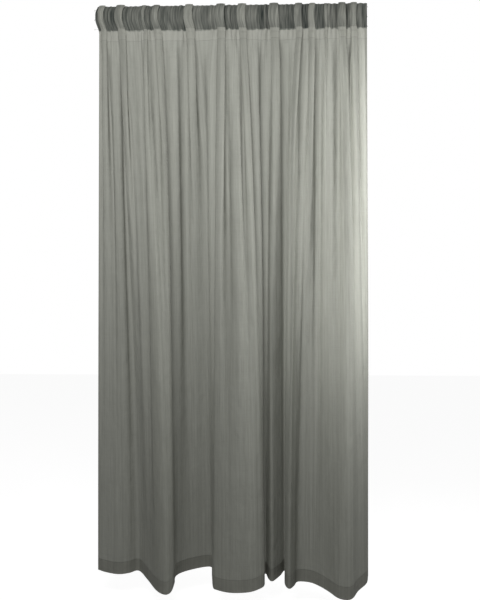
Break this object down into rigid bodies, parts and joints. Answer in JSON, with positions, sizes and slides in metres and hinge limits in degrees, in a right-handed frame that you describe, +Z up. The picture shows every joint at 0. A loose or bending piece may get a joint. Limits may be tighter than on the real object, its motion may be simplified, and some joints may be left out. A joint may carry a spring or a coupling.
{
  "type": "curtain on a rod",
  "caption": "Gathered semi-sheer curtain panel with a pencil-pleat heading, hung by hooks and rings from a telescopic rod on two wall brackets; it draws sideways along the rod.",
  "frame": {"origin": "centre of the left wall plate's back face, on the wall", "axes": "+X along the rod, +Y into the wall (the room is at negative y), +Z up"},
  "size_m": [1.1394, 0.255, 2.41],
  "materials": {
    "curtain_cloth": "semi-sheer linen-look voile with vertical slubs",
    "heading_tape": "woven pencil-pleat tape",
    "gathering_cord": "braided cord",
    "hook_plastic": "white nylon",
    "ring_metal": "satin nickel",
    "rod_metal": "satin nickel tube",
    "cap_plastic": "moulded, satin",
    "bracket_metal": "powder coat",
    "screw_metal": "zinc plated"
  },
  "bodies": {
    "fixed": {"bracket_arm_left": "bracket_metal", "bracket_arm_right": "bracket_metal", "curtain_hook_01": "hook_plastic", "curtain_panel": "curtain_cloth", "end_cap_left": "cap_plastic", "gathering_cord_bottom": "gathering_cord", "gathering_cord_middle": "gathering_cord", "gathering_cord_top": "gathering_cord", "grub_screw_left": "screw_metal", "grub_screw_right": "screw_metal", "heading_tape": "heading_tape", "ring_01": "ring_metal", "rod_outer_tube": "rod_metal", "screw_eye_01": "ring_metal", "wall_plate_left": "bracket_metal", "wall_plate_right": "bracket_metal"},
    "rod_extension": {"rod_inner_tube": "rod_metal", "end_cap_right": "cap_plastic"},
    "thumb_screw_l": {"thumb_screw_left": "screw_metal"},
    "thumb_screw_r": {"thumb_screw_right": "screw_metal"},
    "runner_02": {"ring_02": "ring_metal", "screw_eye_02": "ring_metal", "curtain_hook_02": "hook_plastic"},
    "runner_03": {"ring_03": "ring_metal", "screw_eye_03": "ring_metal", "curtain_hook_03": "hook_plastic"},
    "runner_04": {"ring_04": "ring_metal", "screw_eye_04": "ring_metal", "curtain_hook_04": "hook_plastic"},
    "runner_05": {"ring_05": "ring_metal", "screw_eye_05": "ring_metal", "curtain_hook_05": "hook_plastic"},
    "runner_06": {"ring_06": "ring_metal", "screw_eye_06": "ring_metal", "curtain_hook_06": "hook_plastic"},
    "runner_07": {"ring_07": "ring_metal", "screw_eye_07": "ring_metal", "curtain_hook_07": "hook_plastic"},
    "runner_08": {"ring_08": "ring_metal", "screw_eye_08": "ring_metal", "curtain_hook_08": "hook_plastic"},
    "runner_09": {"ring_09": "ring_metal", "screw_eye_09": "ring_metal", "curtain_hook_09": "hook_plastic"},
    "runner_10": {"ring_10": "ring_metal", "screw_eye_10": "ring_metal", "curtain_hook_10": "hook_plastic"},
    "runner_11": {"ring_11": "ring_metal", "screw_eye_11": "ring_metal", "curtain_hook_11": "hook_plastic"},
    "runner_12": {"ring_12": "ring_metal", "screw_eye_12": "ring_metal", "curtain_hook_12": "hook_plastic"}
  },
  "joints": [
    {"name": "follow_02", "type": "slide", "parent": "fixed", "child": "runner_02", "axis": [-1, 0, 0], "range_m": [0, 0.06567]},
    {"name": "follow_03", "type": "slide", "parent": "fixed", "child": "runner_03", "axis": [-1, 0, 0], "range_m": [0, 0.13135]},
    {"name": "follow_04", "type": "slide", "parent": "fixed", "child": "runner_04", "axis": [-1, 0, 0], "range_m": [0, 0.19702]},
    {"name": "follow_05", "type": "slide", "parent": "fixed", "child": "runner_05", "axis": [-1, 0, 0], "range_m": [0, 0.26269]},
    {"name": "follow_06", "type": "slide", "parent": "fixed", "child": "runner_06", "axis": [-1, 0, 0], "range_m": [0, 0.32837]},
    {"name": "follow_07", "type": "slide", "parent": "fixed", "child": "runner_07", "axis": [-1, 0, 0], "range_m": [0, 0.39404]},
    {"name": "follow_08", "type": "slide", "parent": "fixed", "child": "runner_08", "axis": [-1, 0, 0], "range_m": [0, 0.45971]},
    {"name": "follow_09", "type": "slide", "parent": "fixed", "child": "runner_09", "axis": [-1, 0, 0], "range_m": [0, 0.52538]},
    {"name": "follow_10", "type": "slide", "parent": "fixed", "child": "runner_10", "axis": [-1, 0, 0], "range_m": [0, 0.59106]},
    {"name": "follow_11", "type": "slide", "parent": "fixed", "child": "runner_11", "axis": [-1, 0, 0], "range_m": [0, 0.65673]},
    {"name": "draw", "type": "slide", "parent": "fixed", "child": "runner_12", "axis": [-1, 0, 0], "range_m": [0, 0.7224], "deforming": ["curtain_panel", "heading_tape", "gathering_cord_top", "gathering_cord_middle", "gathering_cord_bottom"]},
    {"name": "rod_extend", "type": "slide", "parent": "fixed", "child": "rod_extension", "axis": [1, 0, 0], "range_m": [0, 0.3]},
    {"name": "thumb_turn_left", "type": "hinge", "parent": "fixed", "child": "thumb_screw_l", "pos_m": [0, -0.097, 0.018], "axis": [0, 1, 0], "range_deg": [0, 720]},
    {"name": "thumb_turn_right", "type": "hinge", "parent": "fixed", "child": "thumb_screw_r", "pos_m": [1.042, -0.097, 0.018], "axis": [0, 1, 0], "range_deg": [0, 720]}
  ],
  "couplings": [
    {"joint": "follow_02", "follows": "draw", "ratio": 0.090909},
    {"joint": "follow_03", "follows": "draw", "ratio": 0.18182},
    {"joint": "follow_04", "follows": "draw", "ratio": 0.27273},
    {"joint": "follow_05", "follows": "draw", "ratio": 0.36364},
    {"joint": "follow_06", "follows": "draw", "ratio": 0.45455},
    {"joint": "follow_07", "follows": "draw", "ratio": 0.54545},
    {"joint": "follow_08", "follows": "draw", "ratio": 0.63636},
    {"joint": "follow_09", "follows": "draw", "ratio": 0.72727},
    {"joint": "follow_10", "follows": "draw", "ratio": 0.81818},
    {"joint": "follow_11", "follows": "draw", "ratio": 0.90909}
  ]
}
